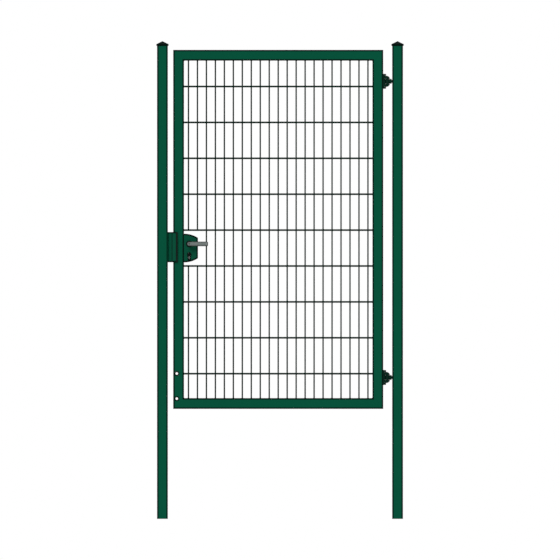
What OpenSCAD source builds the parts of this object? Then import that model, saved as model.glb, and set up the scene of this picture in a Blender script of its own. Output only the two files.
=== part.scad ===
// Tubular frame gate: two square posts and a hinged leaf of rectangular tube with a welded
// double-wire mesh, a D-shaped lock case with lever handles and adjustable eye-bolt hinges.
// Frame: +Z up, X along the gate, -Y towards the front, origin at the foot of the hinge post.

/* [Opening] */
// Clear width between the two posts
clear_w = 1250; // [900:10:1600]
// Gap between the leaf and the latch post
latch_gap = 30; // [28:1:36]
// Gap between the leaf and the hinge post
hinge_gap = 50; // [48:1:60]

/* [Posts] */
// Outside width of a post
post_w = 60; // [50:1:80]
// Wall thickness of a post
post_wall = 3; // [2:0.5:4]
// Outside corner radius of a post
post_r = 5; // [4:0.5:8]
// Height of the posts above the leaf's upper edge
post_rise = 27; // [15:1:60]

/* [Post caps] */
// How far a cap stands out past the post on each side
cap_overhang = 5; // [4:0.5:10]
// How far the cap's rim reaches down over the post
cap_skirt = 5; // [5:0.5:12]
// Thickness of the rim above the post's end
cap_plate = 7; // [1:0.5:9]
// Height of the cap's pyramid above its rim
cap_rise = 15; // [12:1:30]
// Room between the cap's rim and the post
cap_play = 0.3; // [0.2:0.1:0.5]

/* [Leaf frame] */
// Height of the gate leaf
leaf_h = 2000; // [1900:50:2300]
// Height of the leaf's lower edge above the feet of the posts
leaf_lift = 613; // [560:1:700]
// Face width of the frame tube
tube_w = 60; // [50:1:70]
// Depth of the frame tube, front to back
tube_d = 40; // [36:1:44]
// Wall thickness of the frame tube
tube_wall = 2; // [1.5:0.5:3]
// Outside corner radius of the frame tube
tube_r = 3; // [2.5:0.5:4]
// Diameter of the two drop bolt holes in the latch stile
drop_hole_d = 14; // [10:1:16]
// Distance of the drop bolt holes from the latch stile's outer edge
drop_hole_edge = 20; // [18:1:24]
// Height of the lower drop bolt hole above the leaf's lower edge
drop_hole_low = 57; // [50:1:70]
// Distance between the two drop bolt holes
drop_hole_pitch = 140; // [100:5:160]

/* [Mesh] */
// Diameter of an upright wire
upright_d = 8; // [5:0.5:9]
// Diameter of a cross wire, of which each row has one in front and one behind
cross_d = 10; // [6:0.5:11]
// Spacing of the upright wires
upright_pitch = 50; // [40:5:60]
// Spacing of the rows of cross wires
cross_pitch = 200; // [150:10:200]
// Distance of the first row of cross wires below the top rail
row_drop = 144; // [134:1:154]
// Depth to which the wires sink into each other where they are welded
weld_sink = 0.4; // [0.2:0.1:0.6]

/* [Hinges] */
// Distance of each hinge from the leaf's nearest end
hinge_inset = 175; // [150:5:300]
// Diameter of the hinge pin
pin_d = 12; // [10:1:14]
// Diameter of the pin's two heads
pin_head_d = 18; // [16:1:20]
// Thickness of a pin head
pin_head_t = 2.5; // [2:0.5:3]
// Depth of a pin head's top below the ear's level top
pin_sink = 5; // [0:0.5:6]
// Height of the hinge plate on the leaf
plate_h = 84; // [80:1:92]
// Width of the hinge plate, front to back
plate_w = 34; // [30:1:36]
// Thickness of the hinge plate
plate_t = 8; // [5:0.5:8]
// Room between the hinge ears and the heads of the plate's screws
ear_gap = 0.2; // [0.2:0.1:1]
// Half height of the hinge ears at their nose
ear_nose = 16; // [15:0.5:21]
// Length of the ears' level part, from the plate
ear_flat = 10; // [6:0.5:11]
// Diameter of a hinge plate screw
plate_screw_d = 6; // [5:0.5:8]
// Diameter of a hinge plate screw's head
plate_screw_head_d = 10; // [9:0.5:13]
// Height of a hinge plate screw's head
plate_screw_head_t = 8; // [5:0.5:8]
// Width across the flats of the key that turns a hinge plate screw
plate_screw_key = 5; // [4:0.5:6]
// Length of a hinge plate screw's shank behind the plate
plate_screw_l = 8; // [6:1:12]
// Distance of a hinge plate screw's head from the plate's end
plate_edge = 0.8; // [0.8:0.1:2]
// Outside diameter of the eye
eye_d = 28; // [26:0.5:28]
// Height of the eye
eye_h = 26; // [24:0.5:28]
// Room between the eye and the hinge plate
eye_clear = 1; // [1:0.5:2]
// Width of the plate's hollow saddle between the ears, front to back
saddle_w = 12; // [8:1:16]
// Room between the eye and the saddle
saddle_play = 0.8; // [0.5:0.1:0.9]
// Diameter of the eye bolt's shank
bolt_d = 16; // [12:1:16]
// Width across the flats of the lock nut
nut_af = 24; // [22:0.5:24]
// Thickness of the lock nut
nut_t = 8; // [6:0.5:9]
// Thickness of the eye bolt's collar under the nut
collar_t = 1.5; // [1.5:0.5:2.5]
// Diameter of the eye bolt's collar
collar_d = 22; // [20:0.5:23]
// Depth of the eye bolt in the post
bolt_in = 26; // [22:1:30]
// Diameter of the threaded insert in the post
insert_d = 24; // [22:0.5:26]
// Length of the threaded insert
insert_l = 22; // [15:1:25]

/* [Keep] */
// Height of the keep on the latch post
keep_h = 168; // [140:1:200]
// Height of the keep's middle above the middle of the lock case
keep_up = 5; // [0:1:10]
// Thickness of the keep's folded plate
keep_t = 4; // [3:0.5:4]
// How far the keep's stop reaches over the latch stile
keep_over = 24; // [20:1:26]
// Width of the keep's sloping web, measured across the gap
keep_web = 23.5; // [18:0.5:24]
// Distance of the keep's first fold in front of the gate's middle plane
keep_fold = 15; // [12:0.5:18]
// Height of the keep's rear lip above the post
keep_lip = 9; // [7:0.5:9]
// Thickness of the rubber between the stop and the stile
buffer_t = 4.7; // [3:0.1:6]
// Width of the rubber's front lip
buffer_lip = 8; // [6:0.5:10]
// Thickness of the rubber round the stop's edge
buffer_edge = 2; // [1:0.5:3]
// Thickness of the rubber's front lip
buffer_front = 1.5; // [1:0.5:2]
// Play of the latch bolt against the keep's rear lip when the gate is shut
lip_play = 2; // [1:0.5:3]
// Diameter of the keep's screws
keep_screw_d = 8; // [6:1:8]
// Diameter of a keep screw's domed head
keep_screw_head_d = 13.5; // [11:0.5:14]
// Height of a keep screw's domed head
keep_screw_head_t = 4; // [3:0.5:4]
// Distance of the keep's screws from its ends
keep_screw_in = 24; // [18:1:30]
// Length of the keep's screws in the post
keep_screw_l = 11; // [8:1:16]

/* [Lock] */
// Height of the lock case's middle above the leaf's lower edge
lock_z = 896; // [850:1:950]
// Height of the lock case at the stile
lock_h = 160; // [150:1:170]
// Height of the lock case at its outer edge, with its corners left sharp
lock_edge_h = 114; // [108:1:134]
// Width of the lock case
lock_w = 78; // [74:1:84]
// Corner radius of the lock case
lock_r = 5; // [4:1:10]
// Wall thickness of the lock case
lock_wall = 3; // [2:0.5:4]
// Thickness of a lock cover
cover_t = 3; // [2:0.5:4]
// How far a lock cover stands back from the case's outline
cover_inset = 1.5; // [1:0.5:3]
// Distance of the spindle and the cylinder from the stile
backset = 29; // [28:1:36]
// Height of the spindle above the lock case's middle
spindle_up = 23; // [20:1:30]
// Distance of the cylinder below the lock case's middle
cylinder_down = 36; // [32:1:40]
// Height of the latch bolt
latch_h = 30; // [20:1:36]
// Thickness of the latch bolt, front to back
latch_t = 12; // [10:1:12]
// Room between the drawn-back latch bolt and the keep's rear lip
latch_clear = 6; // [5:0.5:7]
// Length of the latch bolt inside the lock case
latch_in = 15; // [10:1:20]

/* [Handles] */
// Length of the lever from the spindle's axis to its end
lever_l = 105; // [90:1:130]
// Height of the lever's grip
lever_h = 26; // [20:1:28]
// Thickness of the lever's grip
lever_t = 14; // [12:1:16]
// Distance of the lever's grip from the lock cover
lever_reach = 33; // [28:1:45]
// Edge radius of the lever's grip
lever_r = 5; // [3:0.5:5]
// Diameter of the lever's neck
neck_d = 18; // [16:1:20]
// Diameter of a rosette
rosette_d = 34; // [30:1:38]
// Thickness of a rosette
rosette_t = 6; // [4:0.5:8]
// Width of the square spindle
spindle_w = 8; // [7:0.5:9]

/* [Cylinder] */
// Diameter of the lock cylinder's round part
barrel_d = 17; // [16:0.5:18]
// Width of the lock cylinder's web
web_w = 10; // [9:0.5:10]
// Whole height of the lock cylinder's profile
profile_h = 33; // [31:0.5:34]
// Diameter of the key plug
plug_d = 13; // [12:0.5:14]
// Width of the escutcheon's rim around the cylinder
rim_w = 3.5; // [3:0.5:4]
// How much further the escutcheon reaches below the cylinder
rim_foot = 7; // [4:0.5:8]
// Thickness of an escutcheon
rim_t = 3; // [2:0.5:4]
// How far the cylinder stands out of an escutcheon
cylinder_out = 1.5; // [1:0.5:3]
// Length of a key plug
plug_l = 20; // [16:1:24]
// Thickness of the key plug's flange, which covers the cylinder's round end
plug_flange_t = 0.8; // [0.5:0.1:1.5]
// Width of the slot for the key
key_w = 2.4; // [2:0.1:3]
// Height of the slot for the key
key_h = 9; // [8:0.5:10]

/* [Hidden] */

paint = "#034f38";
lock_paint = "#0c4a37";
dark = "#0c2a1f";
black = "#141614";
steel = "#8d9494";

// Room round a pin or screw, room between pieces that face each other, and how far a cut runs past
fit = 0.05;
seat = 0.3;
cut = 1;

// Places along X
post_in = -post_w / 2;
leaf_right = post_in - hinge_gap;
leaf_w = clear_w - latch_gap - hinge_gap;
leaf_left = leaf_right - leaf_w;
latch_post_in = post_in - clear_w;
latch_post_x = latch_post_in - post_w / 2;
mesh_left = leaf_left + tube_w;
mesh_right = leaf_right - tube_w;
pin_offset = plate_t + eye_clear + eye_d / 2;
pin_x = leaf_right + pin_offset;

// Places along Z
leaf_top = leaf_lift + leaf_h;
post_l = leaf_top + post_rise;
mesh_low = leaf_lift + tube_w;
mesh_high = leaf_top - tube_w;
lock_mid = leaf_lift + lock_z;
keep_mid = lock_mid + keep_up;
spindle_z = lock_mid + spindle_up;
cylinder_z = lock_mid - cylinder_down;
hinge_low = leaf_lift + hinge_inset;
hinge_high = leaf_top - hinge_inset;

// Places front to back
tube_face = tube_d / 2;
cover_face = tube_face + cover_t;
stop_back = tube_face + seat + buffer_t;

// The mesh
cross_y = (upright_d + cross_d) / 2 - weld_sink;
upright_n = floor((mesh_right - mesh_left - upright_d) / upright_pitch) + 1;
upright_x0 = (mesh_left + mesh_right - (upright_n - 1) * upright_pitch) / 2;
row_top = mesh_high - row_drop;
cross_n = floor((row_top - mesh_low - cross_d / 2) / cross_pitch) + 1;
cross_z = [for (i = [0:cross_n - 1]) row_top - i * cross_pitch];
// A row this near the lock's middle starts beside the lock case in place of at the stile
lock_reach = lock_h / 2 + cross_d;
row_above_lock = min([for (z = cross_z) if (z >= lock_mid + lock_reach) z]);
row_below_lock = max([for (z = cross_z) if (z <= lock_mid - lock_reach) z]);

// The hinges, measured from the pin's axis at the height of the eye bolt
plate_inner = plate_t - pin_offset;
plate_screw_up = plate_h / 2 - plate_screw_head_d / 2 - plate_edge;
plate_screw_z = [for (z = [hinge_low, hinge_high], s = [-1, 1]) z + s * plate_screw_up];
// Half height of the ears at the plate
ear_root = plate_screw_up - plate_screw_head_d / 2 - ear_gap;
ear_r = eye_d / 2;
ear_slot = eye_h / 2 + seat;
pin_seat = ear_root - pin_sink - pin_head_t;
shoulder_x = eye_d / 2 + collar_t;

// The keep, measured from the latch post's inner face
keep_screw_up = keep_h / 2 - keep_screw_in;
keep_screw_z = [keep_mid - keep_screw_up, keep_mid + keep_screw_up];
lip_in = latch_t / 2 + lip_play;
stop_front = stop_back + keep_t;
stop_end = latch_gap + keep_over;

// The lock: the spindle and the cylinder stand above each other
spindle_x = mesh_left + backset;
spindle_end = cover_face + lever_reach;
// The middle of the round lower end of the cylinder's web, below the plug's axis
profile_foot = barrel_d / 2 - profile_h + web_w / 2;
cylinder_end = cover_face + rim_t + cylinder_out;

// A rectangle with round corners, centred
module round_rect(w, h, r) {
    square([w - 2 * r, h], center = true);
    square([w, h - 2 * r], center = true);
    for (x = [-1, 1], y = [-1, 1])
        translate([x * (w / 2 - r), y * (h / 2 - r)]) circle(r, $fn = 48);
}

// The section of a square or rectangular tube
module tube_section(w, h, r, wall) {
    difference() {
        round_rect(w, h, r);
        round_rect(w - 2 * wall, h - 2 * wall, max(r - wall, 0.5));
    }
}

// A cylinder along X from x0 to x1
module rod_x(d, x0, x1) {
    translate([x0, 0, 0]) rotate([0, 90, 0]) cylinder(h = x1 - x0, d = d, $fn = 64);
}

// A cylinder along Y from y0 to y1
module rod_y(d, y0, y1) {
    translate([0, y1, 0]) rotate([90, 0, 0]) cylinder(h = y1 - y0, d = d, $fn = 64);
}

// A flat outline in X and Z, made a plate from y0 to y1
module plate_y(y0, y1) {
    translate([0, y1, 0]) rotate([90, 0, 0]) linear_extrude(y1 - y0) children();
}

// ---- Posts ----

module post_tube() {
    linear_extrude(post_l) tube_section(post_w, post_w, post_r, post_wall);
}

module hinge_post() {
    color(paint) difference() {
        post_tube();
        for (z = [hinge_low, hinge_high])
            translate([0, 0, z]) rod_x(insert_d + 2 * fit, post_in - cut, 0);
    }
}

module latch_post() {
    color(paint) difference() {
        translate([latch_post_x, 0, 0]) post_tube();
        for (z = keep_screw_z)
            translate([0, 0, z]) rod_x(keep_screw_d + 2 * fit, latch_post_x, latch_post_in + cut);
    }
}

// Half of the cap's section: a round rim at the side, from which the top rises to the apex
module cap_half_section() {
    rim_r = (cap_skirt + cap_plate) / 2;
    rim_x = post_w / 2 + cap_overhang - rim_r;
    rim_z = cap_plate - rim_r;
    apex = cap_plate + cap_rise;
    // The straight line from the apex that touches the rim's round
    far = norm([rim_x, apex - rim_z]);
    steep = atan2(apex - rim_z, rim_x) - asin(rim_r / far);
    translate([rim_x, rim_z]) circle(rim_r, $fn = 64);
    polygon([[0, -cap_skirt], [rim_x, -cap_skirt], [rim_x, rim_z],
             [rim_x + rim_r * sin(steep), rim_z + rim_r * cos(steep)], [0, apex]]);
}

module cap_section() {
    cap_half_section();
    mirror([1, 0]) cap_half_section();
}

// The section drawn along both sides and crossed, so that the corners are mitred, then rounded
module post_cap() {
    cap_w = post_w + 2 * cap_overhang;
    inner_w = post_w + 2 * cap_play;
    difference() {
        intersection() {
            plate_y(-cap_w, cap_w) cap_section();
            rotate([0, 0, 90]) plate_y(-cap_w, cap_w) cap_section();
            translate([0, 0, -cap_skirt - cut])
                linear_extrude(cap_skirt + cap_plate + cap_rise + 2 * cut)
                round_rect(cap_w, cap_w, post_r);
        }
        translate([0, 0, -cap_skirt - cut]) linear_extrude(cap_skirt + cut)
            round_rect(inner_w, inner_w, post_r);
    }
}

module hinge_post_cap() {
    color(dark) translate([0, 0, post_l]) post_cap();
}

module latch_post_cap() {
    color(dark) translate([latch_post_x, 0, post_l]) post_cap();
}

// ---- Leaf frame: four tubes, mitred where they meet ----

// The part of the leaf's face that belongs to one side of the frame, cut at 45 degrees.
// The side lies along +X from the corner at the origin, and l is its outer length.
module mitred_tube(l) {
    intersection() {
        translate([0, 0, tube_w / 2]) rotate([90, 0, 90])
            linear_extrude(l) tube_section(tube_d, tube_w, tube_r, tube_wall);
        plate_y(-tube_d, tube_d)
            polygon([[0, 0], [l, 0], [l - tube_w, tube_w], [tube_w, tube_w]]);
    }
}

module bottom_rail() {
    color(paint) translate([leaf_left, 0, leaf_lift]) mitred_tube(leaf_w);
}

module top_rail() {
    color(paint) translate([leaf_left, 0, leaf_top]) mirror([0, 0, 1]) mitred_tube(leaf_w);
}

module hinge_stile() {
    color(paint) difference() {
        translate([leaf_right, 0, leaf_lift]) rotate([0, -90, 0]) mitred_tube(leaf_h);
        for (z = plate_screw_z)
            translate([0, 0, z])
                rod_x(plate_screw_d + 2 * fit, leaf_right - tube_wall - cut, leaf_right + cut);
    }
}

module latch_stile() {
    color(paint) difference() {
        translate([leaf_left, 0, leaf_lift]) mirror([1, 0, 0]) rotate([0, -90, 0])
            mitred_tube(leaf_h);
        for (i = [0, 1])
            translate([leaf_left + drop_hole_edge, 0,
                       leaf_lift + drop_hole_low + i * drop_hole_pitch])
                rod_y(drop_hole_d, -tube_d, tube_d);
        latch_slot();
    }
}

// ---- Mesh ----

// A six-sided upright wire from z0 to z1
module upright(x, z0, z1) {
    translate([x, 0, z0]) rotate([0, 0, 30]) cylinder(h = z1 - z0, d = upright_d / cos(30), $fn = 6);
}

// An eight-sided cross wire, which starts at the stile or, beside the lock, at the lock case
module cross_wire(y, z) {
    x0 = abs(z - lock_mid) < lock_reach ? mesh_left + lock_w : mesh_left;
    translate([x0, y, z]) rotate([0, 90, 0]) rotate([0, 0, 22.5])
        cylinder(h = mesh_right - x0, d = cross_d / cos(22.5), $fn = 8);
}

module mesh_panel() {
    color(dark) {
        for (i = [0:upright_n - 1]) {
            x = upright_x0 + i * upright_pitch;
            if (x - upright_d / 2 > mesh_left + lock_w + seat) {
                upright(x, mesh_low, mesh_high);
            } else {
                upright(x, mesh_low, row_below_lock);
                upright(x, row_above_lock, mesh_high);
            }
        }
        for (z = cross_z, y = [-cross_y, cross_y]) cross_wire(y, z);
    }
}

// ---- Hinges, drawn about the pin's axis at the height of the eye bolt ----

// The upper ear's outline: level from the plate, then an arc that starts level and ends at the nose
module ear_outline() {
    arc_x = plate_inner + ear_flat;
    run = ear_r - arc_x;
    drop = ear_root - ear_nose;
    back_r = (run * run + drop * drop) / (2 * drop);
    translate([plate_inner, 0]) square([ear_flat, ear_root]);
    intersection() {
        translate([arc_x, ear_root - back_r]) circle(back_r, $fn = 180);
        translate([arc_x, 0]) square([run, ear_root]);
    }
}

// The raised middle of the plate, hollowed round the eye
module saddle() {
    difference() {
        translate([-pin_offset, -saddle_w / 2, -ear_slot]) cube([pin_offset, saddle_w, 2 * ear_slot]);
        cylinder(h = 2 * plate_h, r = ear_r + saddle_play, center = true, $fn = 96);
    }
}

// The forged bracket: a plate on the stile with an ear above and an ear below the eye
module hinge_bracket() {
    difference() {
        union() {
            translate([-pin_offset, -plate_w / 2, -plate_h / 2]) cube([plate_t, plate_w, plate_h]);
            saddle();
            for (s = [0, 1]) mirror([0, 0, s]) intersection() {
                plate_y(-plate_w, plate_w) ear_outline();
                translate([0, 0, ear_slot]) linear_extrude(plate_h) {
                    circle(ear_r, $fn = 64);
                    translate([plate_inner - cut, -ear_r]) square([cut - plate_inner, 2 * ear_r]);
                }
            }
        }
        cylinder(h = plate_h, d = pin_d + 2 * fit, center = true, $fn = 48);
        for (s = [0, 1]) mirror([0, 0, s])
            translate([0, 0, pin_seat]) cylinder(h = plate_h, d = pin_head_d + 2 * seat, $fn = 48);
        for (s = [-1, 1]) translate([0, 0, s * plate_screw_up])
            rod_x(plate_screw_d + 2 * fit, -pin_offset - cut, plate_inner + cut);
    }
}

module hinge_pin() {
    cylinder(h = 2 * pin_seat, d = pin_d, center = true, $fn = 48);
    for (s = [0, 1]) mirror([0, 0, s]) translate([0, 0, pin_seat]) rotate_extrude($fn = 48)
        polygon([[0, 0], [pin_head_d / 2, 0], [pin_head_d / 2, pin_head_t * 0.6],
                 [pin_head_d / 2 - pin_head_t * 0.4, pin_head_t], [0, pin_head_t]]);
}

// A socket-head screw along X, its head on the plate
module plate_screw() {
    difference() {
        union() {
            rod_x(plate_screw_d, -pin_offset - plate_screw_l, plate_inner);
            rod_x(plate_screw_head_d, plate_inner, plate_inner + plate_screw_head_t);
        }
        translate([plate_inner + plate_screw_head_t / 2, 0, 0]) rotate([0, 90, 0])
            cylinder(h = plate_screw_head_t, d = plate_screw_key / cos(30), $fn = 6);
    }
}

module eye_bolt() {
    difference() {
        union() {
            cylinder(h = eye_h, d = eye_d, center = true, $fn = 64);
            rod_x(collar_d, eye_d / 4, shoulder_x);
            rod_x(bolt_d, eye_d / 4, post_in - pin_x + bolt_in);
        }
        cylinder(h = eye_h + cut, d = pin_d + 2 * fit, center = true, $fn = 48);
    }
}

// A hexagonal nut with chamfered corners, its corners up and down
module lock_nut() {
    nut_r = nut_af / 2 / cos(30);
    bevel = nut_r - nut_af / 2;
    translate([shoulder_x, 0, 0]) rotate([0, 90, 0]) difference() {
        intersection() {
            cylinder(h = nut_t, r = nut_r, $fn = 6);
            rotate_extrude($fn = 64)
                polygon([[0, 0], [nut_af / 2, 0], [nut_r, bevel / 2], [nut_r, nut_t - bevel / 2],
                         [nut_af / 2, nut_t], [0, nut_t]]);
        }
        translate([0, 0, -cut]) cylinder(h = nut_t + 2 * cut, d = bolt_d + 2 * fit, $fn = 64);
    }
}

module post_insert() {
    difference() {
        rod_x(insert_d, post_in - pin_x, post_in - pin_x + insert_l);
        rod_x(bolt_d + 2 * fit, 0, post_in - pin_x + insert_l + cut);
    }
}

module at_hinge(z) {
    translate([pin_x, 0, z]) children();
}

module upper_hinge_bracket() { color(dark) at_hinge(hinge_high) hinge_bracket(); }
module lower_hinge_bracket() { color(dark) at_hinge(hinge_low) hinge_bracket(); }
module upper_hinge_pin() { color(steel) at_hinge(hinge_high) hinge_pin(); }
module lower_hinge_pin() { color(steel) at_hinge(hinge_low) hinge_pin(); }
module upper_eye_bolt() { color(dark) at_hinge(hinge_high) eye_bolt(); }
module lower_eye_bolt() { color(dark) at_hinge(hinge_low) eye_bolt(); }
module upper_lock_nut() { color(dark) at_hinge(hinge_high) lock_nut(); }
module lower_lock_nut() { color(dark) at_hinge(hinge_low) lock_nut(); }
module upper_post_insert() { color(dark) at_hinge(hinge_high) post_insert(); }
module lower_post_insert() { color(dark) at_hinge(hinge_low) post_insert(); }

module plate_screws(z) {
    for (s = [-1, 1]) at_hinge(z + s * plate_screw_up) plate_screw();
}

module upper_plate_screws() { color(black) plate_screws(hinge_high); }
module lower_plate_screws() { color(black) plate_screws(hinge_low); }

// ---- Keep: a plate folded from the post's side round to a stop in front of the leaf ----

module at_keep() {
    translate([latch_post_in, 0, keep_mid - keep_h / 2]) children();
}

module keep_plate() {
    stop_in = stop_end - buffer_edge;
    // The web's thickness, measured along X and along Y where it meets the other two plates
    slope = atan2(stop_front - keep_fold, keep_web);
    inner_fold = keep_t * tan(slope / 2);
    outer_fold = keep_t * tan((90 - slope) / 2);
    color(lock_paint) difference() {
        at_keep() linear_extrude(keep_h) polygon([
            [0, lip_in + keep_t], [0, -keep_fold],
            [keep_web, -stop_front], [stop_in, -stop_front],
            [stop_in, -stop_back], [keep_web + inner_fold, -stop_back],
            [keep_t, outer_fold - keep_fold], [keep_t, lip_in],
            [keep_lip, lip_in], [keep_lip, lip_in + keep_t]
        ]);
        for (z = keep_screw_z)
            translate([0, 0, z])
                rod_x(keep_screw_d + 2 * fit, latch_post_in - cut, latch_post_in + keep_t + cut);
    }
}

// Rubber behind the stop, round its edge and over a little of its front
module keep_buffer() {
    color(black) at_keep() linear_extrude(keep_h) polygon([
        [latch_gap + tube_r, -stop_back], [stop_end - buffer_edge, -stop_back],
        [stop_end - buffer_edge, -stop_front], [stop_end - buffer_lip, -stop_front],
        [stop_end - buffer_lip, -stop_front - buffer_front],
        [stop_end, -stop_front - buffer_front],
        [stop_end, -tube_face - seat], [latch_gap + tube_r, -tube_face - seat]
    ]);
}

// Dome-headed screws through the keep into the post
module keep_screws() {
    head_r = keep_screw_head_d / 2;
    dome_r = (head_r * head_r + pow(keep_screw_head_t, 2)) / (2 * keep_screw_head_t);
    color(black) for (z = keep_screw_z) translate([latch_post_in, 0, z]) {
        rod_x(keep_screw_d, -keep_screw_l, keep_t);
        translate([keep_t, 0, 0]) rotate([0, 90, 0]) rotate_extrude($fn = 48) intersection() {
            translate([0, keep_screw_head_t - dome_r]) circle(dome_r, $fn = 96);
            square([head_r, keep_screw_head_t]);
        }
    }
}

// ---- Lock ----

// The lock's outline: flat at the stile, with a long arc above and below that starts level at the
// stile, and a straight outer edge whose corners are round. inset draws the whole outline inwards.
module lock_outline(inset = 0) {
    drop = (lock_h - lock_edge_h) / 2;
    big_r = (lock_w * lock_w + drop * drop) / (2 * drop);
    big_z = lock_h / 2 - big_r;
    corner_x = lock_w - lock_r;
    corner_z = big_z + sqrt(pow(big_r - lock_r, 2) - pow(corner_x, 2));
    meet = atan2(corner_z - big_z, corner_x);
    steps = 16;
    top = [for (i = [0:steps]) let (a = 90 + (meet - 90) * i / steps)
        [(big_r - inset) * cos(a), big_z + (big_r - inset) * sin(a)]];
    corner = [for (i = [1:6]) let (a = meet * (1 - i / 6))
        [corner_x + (lock_r - inset) * cos(a), corner_z + (lock_r - inset) * sin(a)]];
    upper = concat(top, corner);
    lower = [for (i = [len(upper) - 1:-1:0]) [upper[i][0], -upper[i][1]]];
    polygon(concat(upper, lower));
}

module at_lock() {
    translate([mesh_left, 0, lock_mid]) children();
}

module latch_slot() {
    translate([leaf_left - cut, -latch_t / 2 - seat, spindle_z - latch_h / 2 - seat])
        cube([tube_w + lock_wall + 2 * cut, latch_t + 2 * seat, latch_h + 2 * seat]);
}

module lock_case() {
    color(lock_paint) difference() {
        at_lock() plate_y(-tube_face, tube_face) difference() {
            lock_outline();
            intersection() {
                lock_outline(lock_wall);
                translate([lock_wall, -lock_h]) square([lock_w, 2 * lock_h]);
            }
        }
        latch_slot();
    }
}

// The cylinder's profile, grown by extra: a round part above a narrow web
module cylinder_profile(extra = 0) {
    circle(d = barrel_d + 2 * extra, $fn = 64);
    translate([-web_w / 2 - extra, profile_foot]) square([web_w + 2 * extra, -profile_foot]);
    translate([0, profile_foot]) circle(d = web_w + 2 * extra, $fn = 48);
}

module at_cylinder() {
    translate([spindle_x, 0, cylinder_z]) children();
}

module lock_cover() {
    difference() {
        at_lock() plate_y(tube_face, cover_face) lock_outline(cover_inset);
        translate([spindle_x, 0, spindle_z]) rod_y(neck_d + 2 * seat, 0, cover_face + cut);
        at_cylinder() plate_y(0, cover_face + cut) cylinder_profile(seat);
    }
}

module back_lock_cover() {
    color(lock_paint) lock_cover();
}

module front_lock_cover() {
    color(lock_paint) mirror([0, 1, 0]) lock_cover();
}

module latch_bolt() {
    latch_out = latch_gap - keep_lip - latch_clear;
    color(steel) translate([leaf_left - latch_out, -latch_t / 2, spindle_z - latch_h / 2])
        cube([latch_out + tube_w + latch_in, latch_t, latch_h]);
}

module rosette() {
    translate([spindle_x, cover_face, spindle_z]) rotate([-90, 0, 0]) rotate_extrude($fn = 64)
        polygon([[neck_d / 2 + fit, 0], [rosette_d / 2, 0], [rosette_d / 2, rosette_t * 0.6],
                 [rosette_d / 2 - rosette_t * 0.4, rosette_t], [neck_d / 2 + fit, rosette_t]]);
}

module back_rosette() {
    color(lock_paint) rosette();
}

module front_rosette() {
    color(lock_paint) mirror([0, 1, 0]) rosette();
}

module escutcheon() {
    at_cylinder() plate_y(cover_face, cover_face + rim_t) difference() {
        union() {
            cylinder_profile(rim_w);
            translate([0, profile_foot - rim_foot]) circle(d = web_w + 2 * rim_w, $fn = 48);
            translate([-web_w / 2 - rim_w, profile_foot - rim_foot])
                square([web_w + 2 * rim_w, rim_foot]);
        }
        cylinder_profile(fit);
    }
}

module back_escutcheon() {
    color(black) escutcheon();
}

module front_escutcheon() {
    color(black) mirror([0, 1, 0]) escutcheon();
}

module lock_cylinder() {
    color(steel) at_cylinder() difference() {
        plate_y(-cylinder_end, cylinder_end) cylinder_profile();
        for (s = [0, 1]) mirror([0, s, 0])
            rod_y(plug_d + 2 * fit, cylinder_end - plug_l, cylinder_end + cut);
    }
}

module key_plugs() {
    color(black) at_cylinder() for (s = [0, 1]) mirror([0, s, 0]) difference() {
        union() {
            rod_y(plug_d, cylinder_end - plug_l, cylinder_end);
            rod_y(barrel_d, cylinder_end, cylinder_end + plug_flange_t);
        }
        translate([-key_w / 2, cylinder_end - plug_l / 2, -key_h / 2])
            cube([key_w, plug_l, key_h]);
    }
}

// ---- Handles ----

// The lever's outline: round about the spindle and square at the free end
module lever_outline() {
    circle(d = lever_h, $fn = 64);
    translate([0, -lever_h / 2]) square([lever_l, lever_h]);
}

module lever() {
    translate([spindle_x, 0, spindle_z]) difference() {
        union() {
            rod_y(neck_d, cover_face - cover_t / 2, spindle_end + cut);
            intersection() {
                plate_y(spindle_end, spindle_end + lever_t) lever_outline();
                translate([-lever_h, spindle_end + lever_t / 2, 0]) rotate([90, 0, 90])
                    linear_extrude(2 * lever_l) round_rect(lever_t, lever_h, lever_r);
            }
        }
        spindle_bar(spindle_w + 2 * fit, spindle_end + fit);
    }
}

module spindle_bar(w, half_l) {
    translate([-w / 2, -half_l, -w / 2]) cube([w, 2 * half_l, w]);
}

module back_lever() {
    color(steel) lever();
}

module front_lever() {
    color(steel) mirror([0, 1, 0]) lever();
}

module lever_spindle() {
    color(steel) translate([spindle_x, 0, spindle_z]) spindle_bar(spindle_w, spindle_end);
}

hinge_post();
latch_post();
hinge_post_cap();
latch_post_cap();
upper_eye_bolt();
lower_eye_bolt();
upper_lock_nut();
lower_lock_nut();
upper_post_insert();
lower_post_insert();
keep_plate();
keep_buffer();
keep_screws();
latch_stile();
hinge_stile();
top_rail();
bottom_rail();
mesh_panel();
upper_hinge_bracket();
lower_hinge_bracket();
upper_hinge_pin();
lower_hinge_pin();
upper_plate_screws();
lower_plate_screws();
lock_case();
front_lock_cover();
back_lock_cover();
latch_bolt();
front_rosette();
back_rosette();
front_escutcheon();
back_escutcheon();
lock_cylinder();
key_plugs();
front_lever();
back_lever();
lever_spindle();
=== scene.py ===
import math

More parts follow.
